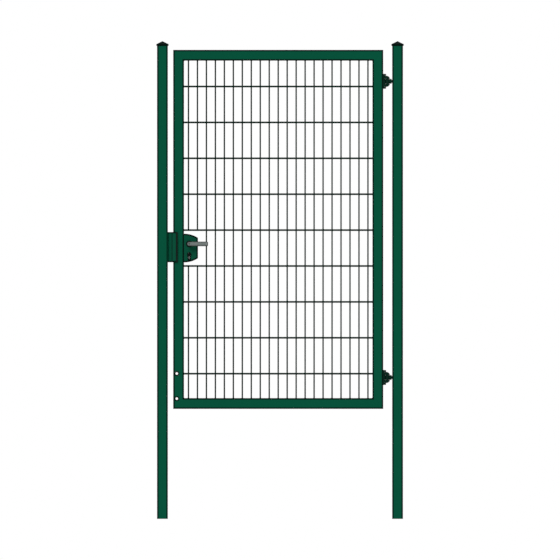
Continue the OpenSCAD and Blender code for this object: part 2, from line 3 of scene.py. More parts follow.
import bmesh
import bpy
import numpy as np
from bpy.props import FloatProperty, FloatVectorProperty, IntProperty, PointerProperty
from bpy.types import Operator, Panel, PropertyGroup
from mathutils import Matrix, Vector


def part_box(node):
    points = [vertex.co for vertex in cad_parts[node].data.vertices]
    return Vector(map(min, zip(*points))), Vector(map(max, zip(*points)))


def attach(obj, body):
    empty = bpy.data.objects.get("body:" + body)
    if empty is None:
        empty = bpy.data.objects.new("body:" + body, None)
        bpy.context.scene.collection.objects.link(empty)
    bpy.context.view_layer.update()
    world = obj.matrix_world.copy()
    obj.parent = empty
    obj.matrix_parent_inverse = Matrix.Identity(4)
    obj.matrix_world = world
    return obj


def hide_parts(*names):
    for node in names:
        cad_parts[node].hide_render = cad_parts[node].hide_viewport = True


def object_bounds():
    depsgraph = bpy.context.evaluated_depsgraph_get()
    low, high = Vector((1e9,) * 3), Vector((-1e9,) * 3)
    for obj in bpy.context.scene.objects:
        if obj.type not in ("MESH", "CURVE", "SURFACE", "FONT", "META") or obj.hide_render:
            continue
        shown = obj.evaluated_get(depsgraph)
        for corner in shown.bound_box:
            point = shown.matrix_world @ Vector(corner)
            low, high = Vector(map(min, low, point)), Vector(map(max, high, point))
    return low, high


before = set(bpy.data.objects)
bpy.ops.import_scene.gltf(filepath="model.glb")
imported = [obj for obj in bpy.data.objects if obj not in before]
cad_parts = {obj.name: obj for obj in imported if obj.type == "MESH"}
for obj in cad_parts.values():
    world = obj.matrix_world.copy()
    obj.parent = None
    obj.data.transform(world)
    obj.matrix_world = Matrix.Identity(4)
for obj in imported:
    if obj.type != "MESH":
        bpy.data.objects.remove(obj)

bl_info = {
    "name": "Tubular frame gate",
    "version": (1, 0, 0),
    "blender": (4, 5, 0),
    "location": "View3D > Sidebar > Gate",
    "description": "Wires, welds, levers and finishes of a hinged mesh gate, built round its packed frame",
    "category": "Object",
}

CAD_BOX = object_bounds()


# ---- Places taken from the frame, in metres ----

def box_of(*nodes):
    """Lowest and highest corner of several CAD nodes together."""
    boxes = [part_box(node) for node in nodes]
    low = Vector(min(low[axis] for low, _ in boxes) for axis in range(3))
    high = Vector(max(high[axis] for _, high in boxes) for axis in range(3))
    return low, high


def middle(box):
    """The point half way between the two corners of a box."""
    return (box[0] + box[1]) / 2


LEAF = box_of("latch_stile", "hinge_stile", "top_rail", "bottom_rail")
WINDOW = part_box("mesh_panel")
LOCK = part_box("lock_case")
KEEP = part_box("keep_plate")
SPINDLE = middle(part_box("lever_spindle"))


# ---- Sizes and colours that a user would change ----

def length(name, description, default, **more):
    """A length in metres, shown in the scene's own unit."""
    return FloatProperty(name=name, description=description, default=default, min=0.0,
                         subtype="DISTANCE", unit="LENGTH", precision=4, **more)


def colour(name, description, red, green, blue):
    """A colour, written as the usual 0 to 255 of each channel and kept as linear light."""
    def linear(level):
        share = level / 255
        return share / 12.92 if share <= 0.04045 else ((share + 0.055) / 1.055) ** 2.4
    return FloatVectorProperty(name=name, description=description, subtype="COLOR", size=3,
                               min=0.0, max=1.0, default=tuple(map(linear, (red, green, blue))))


class GateSizes(PropertyGroup):
    """Sizes of the pieces that are built round the frame."""
    upright_d: length("Upright wire", "Diameter of an upright wire", 0.008)
    cross_d: length("Cross wire", "Diameter of a cross wire, of which each row has two", 0.010)
    upright_pitch: length("Upright spacing", "Distance between two upright wires", 0.05)
    cross_pitch: length("Row spacing", "Distance between two rows of cross wires", 0.2)
    row_drop: length("First row", "Distance of the first row of cross wires below the top rail", 0.144)
    weld_sink: length("Weld sink", "Depth to which crossing wires sink into each other", 0.0004)
    wire_sides: IntProperty(name="Wire sides", description="Number of flat sides round a wire",
                            default=16, min=8, max=32)
    flash: length("Weld flash", "How far the squeezed-out metal of a weld stands past a wire", 0.0011)
    bead: length("Wire bead", "Width of the weld bead where a wire ends on the frame", 0.0022)
    corner_bead: length("Corner bead", "Width of the weld bead in the frame's inner corners", 0.003)
    bead_ripple: length("Bead ripple", "Spacing of the ripples along a corner bead", 0.0025)
    drop_hole_d: length("Drop bolt hole", "Diameter of a drop bolt hole", 0.014)
    drop_hole_in: length("Hole from the edge", "Distance of the drop bolt holes from the leaf's side", 0.02)
    drop_hole_low: length("Lower hole", "Height of the lower drop bolt hole above the leaf's foot", 0.057)
    drop_hole_pitch: length("Hole spacing", "Distance between the two drop bolt holes", 0.14)
    lock_drop: length("Lock drop", "How far the lock's outline drops between the stile and its outer edge",
                      0.023)
    keep_web: length("Keep web", "Distance of the keep's fold from the latch post", 0.0235)
    web_w: length("Cylinder web", "Width of the lock cylinder's narrow web", 0.01)
    grip_t: length("Grip thickness", "Thickness of the lever's grip", 0.014)
    grip_edge: length("Grip edge", "Radius of the lever grip's long edges", 0.0048)
    grip_corner: length("Grip corner", "Radius of the corners at the grip's free end", 0.0055)
    grip_crown: length("Grip crown", "Height of the slight dome on the grip's front and back", 0.0007)
    neck_d: length("Lever neck", "Diameter of the lever's neck", 0.018)
    neck_flare: length("Neck flare", "Radius of the hollow where the neck meets the grip", 0.0028)
    pivot_d: length("Pivot disc", "Diameter of the turned disc on the grip over the spindle", 0.02)
    thread_pitch: length("Thread pitch", "Pitch of the eye bolt's thread", 0.002)
    thread_depth: length("Thread depth", "Height of the thread's ridge on the eye bolt", 0.0006)
    bolt_d: length("Eye bolt", "Diameter of the eye bolt's shank", 0.016)
    # Widths of painted shade: dark lines painted along the edges, where the rounded tubes, the lock and the
    # keep would fall into shade.
    frame_shade_width: length("Frame edge line", "Width of the darker line along the tubes' edges", 0.0102)
    lock_shade_width: length("Lock edge line", "Width of the darker line along the lock's and the keep's edges",
                      0.0085)


class GateColours(PropertyGroup):
    """Colours of the finishes."""
    frame_green: colour("Frame", "Powder coat of the posts and the leaf's tubes", 0, 79, 56)
    # Painted shade along the tubes' edges, not a different coat.
    frame_edge_shade: colour("Frame edges", "The same coat along the edges", 0, 21, 14)
    wire_green: colour("Mesh", "Powder coat of the wires", 3, 28, 20)
    lock_green: colour("Lock", "Powder coat of the lock case and the keep", 4, 75, 54)
    # Painted shade along the lock's and the keep's edges, not a different coat.
    lock_edge_shade: colour("Lock edges", "The same coat along the edges", 0, 16, 10)
    hinge_green: colour("Hinges", "Coat of the brackets and eye bolts", 6, 38, 28)
    cap_green: colour("Caps", "Moulded plastic of the post caps", 1, 15, 10)
    rubber: colour("Buffer", "Rubber on the keep", 12, 22, 18)
    # Black is also painted as shade over the lock cylinder's barrel and along its web's outline.
    black: colour("Black parts", "Escutcheons, rosettes and screws", 3, 5, 4)
    steel: colour("Steel", "Latch bolt and lock cylinder", 150, 156, 154)
    cylinder_grey: colour("Cylinder", "Dull nickel of the lock cylinder's face", 96, 100, 98)
    lever_grey: colour("Levers", "Satin aluminium of the levers", 106, 113, 111)
    # Painted shade along the levers' edges and in the pivot's hollow.
    lever_edge_shade: colour("Lever edges", "The aluminium along its edges", 34, 36, 36)


class GateStage(PropertyGroup):
    """Camera, lamps and floor."""
    view_height: length("View height", "Height of the camera's view", 3.12)
    camera_away: length("Camera distance", "Distance of the camera from the gate", 6.0)
    sky: FloatProperty(name="Sky light", description="Strength of the even light from all round",
                       default=0.46, min=0.0, max=2.0)
    key: FloatProperty(name="Front lamp", description="Strength of the soft lamp in front",
                       default=1.61, min=0.0, max=10.0)
    back: FloatProperty(name="Rear lamp", description="Strength of the soft lamp behind",
                        default=1.01, min=0.0, max=10.0)
    softness: FloatProperty(name="Lamp softness", description="Angle over which a lamp shines",
                            default=math.radians(25), min=0.0, max=math.pi, subtype="ANGLE")
    floor_half: length("Floor", "Half the width of the floor", 40.0)
    floor_glow: FloatProperty(name="Floor glow", description="What the camera adds to the floor's white",
                              default=0.3, min=0.0, max=1.0)


# ---- Surfaces ----

MEETING = 1e-6  # metres within which two points count as one
SHARP_FROM = math.radians(38)  # an edge that turns by more than this stays sharp


def grid_faces(copies, rows, columns):
    """Corner numbers of the four-sided faces of several grids, each closed round its columns:
    the corner in row i and column j joins the next one in its row, and those two in row i + 1."""
    row, column = np.meshgrid(np.arange(rows - 1), np.arange(columns), indexing="ij")
    here = row * columns + column
    beside = row * columns + (column + 1) % columns
    faces = np.stack([here, beside, beside + columns, here + columns], axis=-1).reshape(-1, 4)
    return (np.arange(copies)[:, None, None] * rows * columns + faces).reshape(-1, 4)


def make_piece(name, grids, body, finish, stands_for=()):
    """One mesh piece from grids of points (copies, rows, columns, 3). Points that meet are joined,
    which closes every pole, and the faces are turned outwards."""
    corners = np.concatenate([grid.reshape(-1, 3) for grid in grids])
    starts = np.cumsum([0] + [grid[..., 0].size for grid in grids[:-1]])
    faces = np.concatenate([grid_faces(*grid.shape[:3]) + start for grid, start in zip(grids, starts)])
    mesh = bpy.data.meshes.new(name)
    mesh.from_pydata(corners, [], faces)
    shell = bmesh.new()
    shell.from_mesh(mesh)
    bmesh.ops.remove_doubles(shell, verts=shell.verts, dist=MEETING)
    bmesh.ops.recalc_face_normals(shell, faces=shell.faces)
    shell.to_mesh(mesh)
    shell.free()
    mesh.shade_smooth()
    mesh.set_sharp_from_angle(angle=SHARP_FROM)
    mesh.materials.append(finish)
    piece = bpy.data.objects.new(name, mesh)
    bpy.context.scene.collection.objects.link(piece)
    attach(piece, body)
    if stands_for:
        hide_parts(*stands_for)
    return piece


def turns(columns):
    """Angles once round, without the last that would repeat the first."""
    return np.arange(columns) * 2 * np.pi / columns


def capped(rings):
    """Rings of points (copies, rows, columns, 3) with the middle of the first and of the last ring
    added before and after them, so that both ends are closed."""
    first = np.broadcast_to(rings[:, :1].mean(axis=2, keepdims=True), rings[:, :1].shape)
    last = np.broadcast_to(rings[:, -1:].mean(axis=2, keepdims=True), rings[:, -1:].shape)
    return np.concatenate([first, rings, last], axis=1)


def wire_grid(starts, ends, radius, sides):
    """Straight round wires: start + s (end - start) + radius (u cos t + v sin t), for s of 0 and 1 and
    t once round, where u and v are square to the wire and to each other."""
    run = ends - starts
    run = run / np.linalg.norm(run, axis=1, keepdims=True)
    u = np.cross(run, [0.0, 1.0, 0.0])
    v = np.cross(run, u)
    t = turns(sides)[None, :, None]
    ring = radius * (np.cos(t) * u[:, None] + np.sin(t) * v[:, None])
    return capped(np.stack([starts[:, None] + ring, ends[:, None] + ring], axis=1))


def blob_grid(centres, halves, rows=8, columns=12):
    """Egg-shaped blobs: centre + (a sin p cos t, b cos p, c sin p sin t), with p from pole to pole,
    t once round, and a, b and c the half sizes of each blob."""
    p = np.linspace(0, np.pi, rows)[:, None]
    t = turns(columns)[None, :]
    ball = np.stack([np.sin(p) * np.cos(t), np.cos(p) * np.ones_like(t), np.sin(p) * np.sin(t)], axis=-1)
    return centres[:, None, None] + halves[:, None, None] * ball


def collar_grid(feet, run, radius, width, wobble, rows=5, columns=14):
    """Weld beads round wires that end on a wall: at the height h above the wall, as a share of the
    bead's height, the bead reaches radius + width (1 - h) (1 - h) (1 + uneven cos (3 t + wobble)),
    with t once round the wire and a wobble of its own for each wire."""
    uneven = 0.14
    h = np.linspace(0, 1, rows)[None, :, None]
    t = turns(columns)[None, None, :]
    reach = radius + width * (1 - h) ** 2 * (1 + uneven * np.cos(3 * t + wobble[:, None, None]))
    across = np.cross(run, [0.0, 1.0, 0.0])
    turn = np.cos(t)[..., None] * across + np.sin(t)[..., None] * np.array([0.0, 1.0, 0.0])
    ring = reach[..., None] * turn
    climb = (width * h)[..., None] * np.asarray(run)
    return capped(feet[:, None, None] + ring + climb)


def turned_grid(profile, centre, side, columns=48):
    """A turned piece about a line along Y: centre + (r cos t, side h, r sin t) for each radius r and
    height h of the profile, once round in t."""
    r, h = np.asarray(profile).T
    t = turns(columns)
    points = np.stack([r[:, None] * np.cos(t), side * h[:, None] * np.ones_like(t),
                       r[:, None] * np.sin(t)], axis=-1)
    return (np.asarray(centre) + points)[None]


# ---- Finishes ----

# Scales are per metre. A roughness, a relief and a share go from 0 to 1.
PAINT = {"roughness": 0.5, "specular": 0.04}
CASTING = {"roughness": 0.48, "specular": 0.04}
ORANGE_PEEL = 420.0  # scale of a powder coat's relief, about 2 mm across
# The dark edge line that these two shape is painted shade.
LINE_CORE = 0.65  # share of an edge line's width over which it is full
LINE_WAVER = 0.05  # share of that width by which the line wavers


def scaled(base, share):
    """A colour darkened or lightened to this share of itself."""
    return [level * share for level in base]


class Field:
    """A number that varies over a surface. Arithmetic on it adds Math nodes to its material."""

    def __init__(self, tree, socket):
        self.tree = tree
        self.socket = socket

    def node(self, operation, *values):
        """A Math node fed with these numbers and fields."""
        made = self.tree.nodes.new("ShaderNodeMath")
        made.operation = operation
        for entry, value in zip(made.inputs, values):
            if isinstance(value, Field):
                self.tree.links.new(value.socket, entry)
            else:
                entry.default_value = value
        return Field(self.tree, made.outputs[0])

    def __add__(self, other):
        return self.node("ADD", self, other)

    def __sub__(self, other):
        return self.node("SUBTRACT", self, other)

    def __rsub__(self, other):
        return self.node("SUBTRACT", other, self)

    def __mul__(self, other):
        return self.node("MULTIPLY", self, other)

    def __abs__(self):
        return self.node("ABSOLUTE", self)

    def least(self, other):
        return self.node("MINIMUM", self, other)

    def most(self, other):
        return self.node("MAXIMUM", self, other)

    def across(self, other):
        """Distance from the origin of the point with these two places: the root of both squares."""
        return self.node("SQRT", self * self + other * other)

    def ramp(self, low, high):
        """Rises smoothly from 0 where this is low to 1 where it is high."""
        made = self.tree.nodes.new("ShaderNodeMapRange")
        made.interpolation_type = "SMOOTHSTEP"
        self.tree.links.new(self.socket, made.inputs["Value"])
        made.inputs["From Min"].default_value = low
        made.inputs["From Max"].default_value = high
        return Field(self.tree, made.outputs["Result"])


class Finish:
    """A material in the making: a Principled shader fed from the place on the piece itself. Its name
    differs from those of the plain materials that the CAD meshes bring along."""

    def __init__(self, name, roughness, specular, metallic=0.0):
        if name in bpy.data.materials:
            raise ValueError(f"{name}: the file already has a material of this name")
        self.material = bpy.data.materials.new(name)
        self.material.use_nodes = True
        self.tree = self.material.node_tree
        self.tree.nodes.clear()
        output = self.tree.nodes.new("ShaderNodeOutputMaterial")
        self.shader = self.tree.nodes.new("ShaderNodeBsdfPrincipled")
        self.tree.links.new(self.shader.outputs["BSDF"], output.inputs["Surface"])
        self.shader.inputs["Metallic"].default_value = metallic
        self.shader.inputs["Specular IOR Level"].default_value = specular
        self.roughness = roughness
        self.place = self.tree.nodes.new("ShaderNodeTexCoord").outputs["Object"]
        parts = self.tree.nodes.new("ShaderNodeSeparateXYZ")
        self.tree.links.new(self.place, parts.inputs[0])
        self.x, self.y, self.z = (Field(self.tree, socket) for socket in parts.outputs)

    def noise(self, scale, detail=2.0, stretch=(1.0, 1.0, 1.0)):
        """Cloudy noise from 0 to 1, drawn out along an axis where stretch is under 1."""
        mapping = self.tree.nodes.new("ShaderNodeMapping")
        mapping.inputs["Scale"].default_value = stretch
        self.tree.links.new(self.place, mapping.inputs["Vector"])
        made = self.tree.nodes.new("ShaderNodeTexNoise")
        made.inputs["Scale"].default_value = scale
        made.inputs["Detail"].default_value = detail
        self.tree.links.new(mapping.outputs["Vector"], made.inputs["Vector"])
        return Field(self.tree, made.outputs[0])

    def blend(self, share, first, second):
        """A colour that goes from first to second with the share. Each is a colour or a socket."""
        made = self.tree.nodes.new("ShaderNodeMix")
        made.data_type = "RGBA"
        self.tree.links.new(share.socket, made.inputs["Factor"])
        for entry, value in ((made.inputs[6], first), (made.inputs[7], second)):
            if isinstance(value, bpy.types.NodeSocket):
                self.tree.links.new(value, entry)
            else:
                entry.default_value = (*value, 1.0)
        return made.outputs[2]

    def cloudy(self, base, spread, scale):
        """The base colour, darker and lighter in clouds by up to the spread."""
        darker, lighter = scaled(base, 1 - spread), scaled(base, 1 + spread)
        return self.blend(self.noise(scale, detail=3.0).ramp(0.3, 0.7), darker, lighter)

    def done(self, base, height, bump, spread=0.08, scale=35.0, depth=0.0004):
        """Joins the colour, the relief and an uneven roughness to the shader. The roughness varies by
        the spread either way, and the relief's depth is in metres."""
        self.tree.links.new(base, self.shader.inputs["Base Color"])
        gloss = self.noise(scale, detail=3.0) * (2 * spread) + (self.roughness - spread)
        self.tree.links.new(gloss.socket, self.shader.inputs["Roughness"])
        relief = self.tree.nodes.new("ShaderNodeBump")
        relief.inputs["Strength"].default_value = bump
        relief.inputs["Distance"].default_value = depth
        self.tree.links.new(height.socket, relief.inputs["Height"])
        self.tree.links.new(relief.outputs["Normal"], self.shader.inputs["Normal"])
        return self.material


def tone_with_painted_edge_shade(finish, base, line, edge, width):
    """Slow clouds of tone, and painted shade along the edges: a darker line where rounded edges
    would fall into shade, edge being the distance from the nearest one."""
    tone = finish.cloudy(base, spread=0.035, scale=2.2)
    away = edge + (finish.noise(scale=30.0) - 0.5) * (LINE_WAVER * width)
    return finish.blend(away.ramp(LINE_CORE * width, width), line, tone)


def powder_coat(finish, base, line, edge, width, bump=0.25):
    """Powder coat with painted shade lines along its edges, over orange peel."""
    return finish.done(tone_with_painted_edge_shade(finish, base, line, edge, width), finish.noise(ORANGE_PEEL), bump)


def post_paint(sizes, colours):
    """The posts' coat, with painted shade lines along their four long edges. Both posts stand as far from
    the middle between them, which gives the distance from a post's own axis. The distance from an edge is
    the half width less that distance, the larger of the one along X and the one along Y. The painted
    shade is fainter beside the keep: between the keep's ends, from the latch post's axis to as far as
    the keep reaches."""
    finish = Finish("green_paint_posts", **PAINT)
    left, right = middle(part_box("latch_post")), middle(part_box("hinge_post"))
    half = (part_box("hinge_post")[1].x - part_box("hinge_post")[0].x) / 2
    from_axis = abs(abs(finish.x - (left.x + right.x) / 2) - (right.x - left.x) / 2)
    edge = (half - from_axis).most(half - abs(finish.y))
    # Painted shade, made fainter beside the keep.
    beside_keep = (finish.z - KEEP[0].z).least(KEEP[1].z - finish.z)
    beside_keep = beside_keep.least(finish.x - left.x).least(KEEP[1].x - finish.x)
    fade, faint = 0.002, 0.8 * sizes.frame_shade_width
    edge = edge.most(beside_keep.ramp(0.0, fade) * faint)
    return powder_coat(finish, colours.frame_green, colours.frame_edge_shade, edge, sizes.frame_shade_width)


def leaf_paint(sizes, colours):
    """The leaf's coat, with painted shade lines along the outer and the inner edges of the frame and round
    the drop bolt holes, and a faint ground weld seam across each corner, where the two tubes' mitres meet."""
    finish = Finish("green_paint_leaf", **PAINT)
    centre = middle(LEAF)
    outer = (LEAF[1] - LEAF[0]) / 2
    inner = (WINDOW[1] - WINDOW[0]) / 2
    x = abs(finish.x - centre.x)
    z = abs(finish.z - centre.z)
    to_outside = (outer.x - x).least(outer.z - z)
    past_window_x = x - inner.x
    past_window_z = z - inner.z
    to_inside = past_window_x.most(past_window_z)
    hole_x = finish.x - (LEAF[0].x + sizes.drop_hole_in)
    hole_z = abs(finish.z - (LEAF[0].z + sizes.drop_hole_low + sizes.drop_hole_pitch / 2))
    line_inside = 0.001
    line_r = sizes.drop_hole_d / 2 - line_inside
    from_hole = hole_x.across(hole_z - sizes.drop_hole_pitch / 2) - line_r
    # Painted shade: the dark line follows the frame's edges and the rims of the drop bolt holes.
    edge = to_outside.least(to_inside).least(from_hole).most(outer.y - abs(finish.y))
    coat = tone_with_painted_edge_shade(finish, colours.frame_green, colours.frame_edge_shade, edge, sizes.frame_shade_width)
    seam_core, seam_end, fade = 0.002, 0.006, 0.002
    off_seam = abs(past_window_x - past_window_z).ramp(seam_core, seam_end)
    corner = past_window_x.least(past_window_z).ramp(0.0, fade)
    peel_rise, seam_rise = 0.6, 0.5
    relief = finish.noise(ORANGE_PEEL) * peel_rise + corner * (1.0 - off_seam) * seam_rise
    return finish.done(coat, relief, bump=0.25)


def wire_paint(colours):
    """The wires' coat, less even in tone than the tubes' and with a finer relief."""
    finish = Finish("wire_coat", **PAINT)
    tone = finish.cloudy(colours.wire_green, spread=0.12, scale=6.0)
    return finish.done(tone, finish.noise(scale=500.0), bump=0.2)


def lock_outline_distance(finish, box, drop):
    """Distance inwards from the lock's D-shaped outline, apart from its side on the stile: to the
    straight outer edge, or to the long arc above and below, which starts level at the stile and has
    dropped by drop at the outer edge."""
    low, high = box
    width = high.x - low.x
    half = (high.z - low.z) / 2
    arc_r = (width * width + drop * drop) / (2 * drop)
    from_stile = finish.x - low.x
    up = abs(finish.z - (low.z + high.z) / 2) + (arc_r - half)
    return (arc_r - from_stile.across(up)).least(high.x - finish.x)


def lock_paint(sizes, colours, name, node):
    """The cast lock's coat on one of its pieces, with painted shade lines along the piece's own outline."""
    finish = Finish(name, **CASTING)
    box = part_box(node)
    # Painted shade along the lock's outline.
    edge = lock_outline_distance(finish, box, sizes.lock_drop)
    if node == "lock_case":
        half_y = (box[1].y - box[0].y) / 2
        edge = edge.most(half_y - abs(finish.y))
    return powder_coat(finish, colours.lock_green, colours.lock_edge_shade, edge, sizes.lock_shade_width, bump=0.4)


def keep_paint(sizes, colours):
    """The keep's coat, with painted shade lines along its free side and both ends, and a fainter painted
    shade at its fold.
    """
    finish = Finish("lock_paint_keep", **CASTING)
    low, high = KEEP
    ends = (finish.z - low.z).least(high.z - finish.z)
    faint = 0.6 * sizes.lock_shade_width
    # Painted shade at the fold, where the keep's crease falls into shade.
    fold = abs(finish.x - (low.x + sizes.keep_web)) + faint
    edge = ends.least(high.x - finish.x).least(fold)
    return powder_coat(finish, colours.lock_green, colours.lock_edge_shade, edge, sizes.lock_shade_width, bump=0.3)


def hinge_paint(colours):
    """The forged hinge pieces' coat: a coarser relief than the tubes', and small clouds of tone."""
    finish = Finish("hinge_coat", **PAINT)
    tone = finish.cloudy(colours.hinge_green, spread=0.18, scale=60.0)
    return finish.done(tone, finish.noise(scale=260.0, detail=3.0), bump=0.45)


def moulded_plastic(name, base):
    """Moulded plastic: fine even grain and hardly any change of tone."""
    finish = Finish(name, roughness=0.55, specular=0.02)
    tone = finish.cloudy(base, spread=0.08, scale=25.0)
    return finish.done(tone, finish.noise(scale=900.0), bump=0.3)


def buffer_rubber(colours):
    """Rubber: dull, with a bloom that is paler in patches."""
    finish = Finish("keep_rubber", roughness=0.75, specular=0.1)
    tone = finish.cloudy(colours.rubber, spread=0.2, scale=40.0)
    return finish.done(tone, finish.noise(scale=700.0, detail=3.0), bump=0.35)


def black_steel(colours):
    """Blackened steel: small clouds of tone and a fine grain."""
    finish = Finish("blackened_steel", roughness=0.45, specular=0.08)
    tone = finish.cloudy(colours.black, spread=0.25, scale=80.0)
    return finish.done(tone, finish.noise(scale=600.0), bump=0.2)


def bare_steel(colours):
    """Bare steel, brushed up and down: the grain is noise drawn out along Z."""
    finish = Finish("brushed_steel", roughness=0.35, specular=0.5, metallic=1.0)
    grain = finish.noise(scale=900.0, stretch=(1.0, 1.0, 0.04))
    tone = finish.blend(grain.ramp(0.3, 0.7), scaled(colours.steel, 0.85), colours.steel)
    return finish.done(tone, grain, bump=0.15)


def cylinder_nickel(sizes, colours):
    """The cylinder's dull nickel, with painted shade: black over the barrel and along the web's outline, so
    that only the web shows bright. The distance from the web's outline is the least of those to its two
    sides, its foot and the barrel."""
    finish = Finish("cylinder_nickel", roughness=0.45, specular=0.1, metallic=0.6)
    low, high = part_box("lock_cylinder")
    barrel_foot = high.z - (high.x - low.x)
    from_side = sizes.web_w / 2 - abs(finish.x - (low.x + high.x) / 2)
    edge = from_side.least(finish.z - low.z).least(barrel_foot - finish.z)
    line_core, line_end = 0.0012, 0.0026
    # Painted shade: black over the barrel and along the web's edges.
    tone = finish.blend(edge.ramp(line_core, line_end), colours.black, colours.cylinder_grey)
    return finish.done(tone, finish.noise(scale=700.0, stretch=(1.0, 1.0, 0.1)), bump=0.15)


def lever_aluminium(sizes, colours):
    """Satin aluminium, brushed along the grip: the grain is noise drawn out along X. Its painted shade
    lines follow the grip's outline, which is round about the spindle: the distance from it is the half
    height less the distance from the grip's middle line, or the distance from the free end. The pivot's
    hollow has painted shade too, and near the free end a painted highlight makes the metal a little
    brighter in a patch twice as high as it is long."""
    line_core, line_end, hollow_end = 0.003, 0.0055, 0.0042
    # Sizes of the painted highlight near the free end.
    highlight_in, highlight_core, highlight_end = 0.008, 0.001, 0.005
    finish = Finish("satin_aluminium", roughness=0.4, specular=0.4, metallic=0.35)
    low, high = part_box("back_lever")
    half = (high.z - low.z) / 2
    grip_in = high.y - sizes.grip_t
    behind = (SPINDLE.x - finish.x).most(0.0)
    edge = (half - behind.across(finish.z - SPINDLE.z)).least(high.x - finish.x)
    thick = (abs(finish.y) - grip_in).least(high.y - abs(finish.y))
    from_pivot = (finish.x - SPINDLE.x).across(finish.z - SPINDLE.z)
    # Painted shade along the grip's edges and in the pivot's hollow.
    line = edge.most(thick).ramp(line_core, line_end).least(from_pivot.ramp(line_core, hollow_end))
    # Painted highlight near the free end, a brighter patch where light catches the rounded end.
    from_highlight = (finish.x - (high.x - highlight_in)).across((finish.z - SPINDLE.z) * 0.5)
    painted_highlight = 1.0 - from_highlight.ramp(highlight_core, highlight_end)
    grain = finish.noise(scale=800.0, stretch=(0.03, 1.0, 1.0))
    grey = colours.lever_grey
    tone = finish.blend(grain.ramp(0.25, 0.75), scaled(grey, 0.88), grey)
    tone = finish.blend(painted_highlight * 0.5, tone, scaled(grey, 1.6))
    return finish.done(finish.blend(line, colours.lever_edge_shade, tone), grain, bump=0.2)


def dress(material, *nodes):
    """Gives CAD nodes a finish."""
    for node in nodes:
        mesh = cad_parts[node].data
        mesh.materials.clear()
        mesh.materials.append(material)


def settings(context):
    """The scene's sizes, colours and stage values."""
    return context.scene.gate_sizes, context.scene.gate_colours, context.scene.gate_stage


def row_heights(sizes):
    """Heights of the rows of cross wires, counted down from the first one below the top rail."""
    first = WINDOW[1].z - sizes.row_drop
    count = int((first - WINDOW[0].z - sizes.cross_d / 2) / sizes.cross_pitch) + 1
    return first - sizes.cross_pitch * np.arange(count)


def upright_places(sizes):
    """X of the upright wires, centred in the frame, and the lower and upper end of each stretch: a
    wire beside the lock case runs whole, and one behind it stops at the rows below and above."""
    room = WINDOW[1].x - WINDOW[0].x
    count = int((room - sizes.upright_d) / sizes.upright_pitch) + 1
    x = middle(WINDOW).x + sizes.upright_pitch * (np.arange(count) - (count - 1) / 2)
    rows = row_heights(sizes)
    behind = x[x - sizes.upright_d / 2 < LOCK[1].x]
    beside = x[x - sizes.upright_d / 2 >= LOCK[1].x]
    below = rows[rows < LOCK[0].z].max()
    above = rows[rows > LOCK[1].z].min()
    stretches = [(beside, WINDOW[0].z, WINDOW[1].z), (behind, WINDOW[0].z, below),
                 (behind, above, WINDOW[1].z)]
    return np.concatenate([np.stack([x, np.full_like(x, low), np.full_like(x, high)], axis=1)
                           for x, low, high in stretches])


def cross_wire_y(sizes):
    """Distance of a cross wire's axis from the mesh's middle plane."""
    return (sizes.upright_d + sizes.cross_d) / 2 - sizes.weld_sink


# ---- Operators ----

WELD_SEED = 7  # starts the draws that make each weld a little different
# The pivot disc's profile: share of its radius, and height over the grip's face in metres.
PIVOT_PROFILE = ((0, -0.003), (1, -0.003), (1, 0.0004), (0.94, 0.0009),
                 (0.46, 0.0009), (0.4, 0.0003), (0.34, -0.0006), (0, -0.0006))
FRONT_LAMP_FROM = (-0.45, -1.0, 0.75)
REAR_LAMP_FROM = (0.6, 1.0, 0.8)
LAMP_AWAY = 4.0  # metres
CAMERA_REACH = 100.0  # metres
FLOOR_TONE = 0.8


class GATE_OT_posts(Operator):
    """Finishes the two posts and their caps."""
    bl_idname = "gate.posts"
    bl_label = "Posts"

    def execute(self, context):
        sizes, colours, _ = settings(context)
        dress(post_paint(sizes, colours), "hinge_post", "latch_post")
        dress(moulded_plastic("cap_moulding", colours.cap_green), "hinge_post_cap", "latch_post_cap")
        return {"FINISHED"}


class GATE_OT_leaf_frame(Operator):
    """Finishes the leaf's four tubes and lays the weld beads in their inner corners."""
    bl_idname = "gate.leaf_frame"
    bl_label = "Leaf frame"

    def execute(self, context):
        sizes, colours, _ = settings(context)
        paint = leaf_paint(sizes, colours)
        dress(paint, "latch_stile", "hinge_stile", "top_rail", "bottom_rail")
        make_piece("corner_welds", [self.beads(sizes)], "leaf", paint)
        return {"FINISHED"}

    def beads(self, sizes):
        """A bead in each inner corner, along Y. It reaches r cos t along X and r sin t along Z, with t
        from 0 to a right angle and r = width (1 + swell sin (2 pi y / ripple)) (1 - hollow sin 2 t)."""
        set_back, sunk = 0.0025, 0.0005
        swell, hollow = 0.06, 0.22
        half = (LEAF[1].y - LEAF[0].y) / 2 - set_back
        y = np.linspace(-half, half, 61)
        t = np.linspace(0, np.pi / 2, 9)
        ripple = 1 + swell * np.sin(2 * np.pi * y / sizes.bead_ripple)
        reach = sizes.corner_bead * ripple[:, None] * (1 - hollow * np.sin(2 * t))
        grids = []
        for side in (-1, 1):
            for end in (-1, 1):
                corner = [WINDOW[side > 0].x, 0, WINDOW[end > 0].z]
                arc = np.stack([-side * reach * np.cos(t), np.repeat(y[:, None], len(t), axis=1),
                                -end * reach * np.sin(t)], axis=-1)
                root = np.stack([0 * y + sunk * side, y, 0 * y + sunk * end], axis=-1)[:, None]
                grids.append(np.array(corner) + np.concatenate([root, arc], axis=1))
        return capped(np.array(grids))


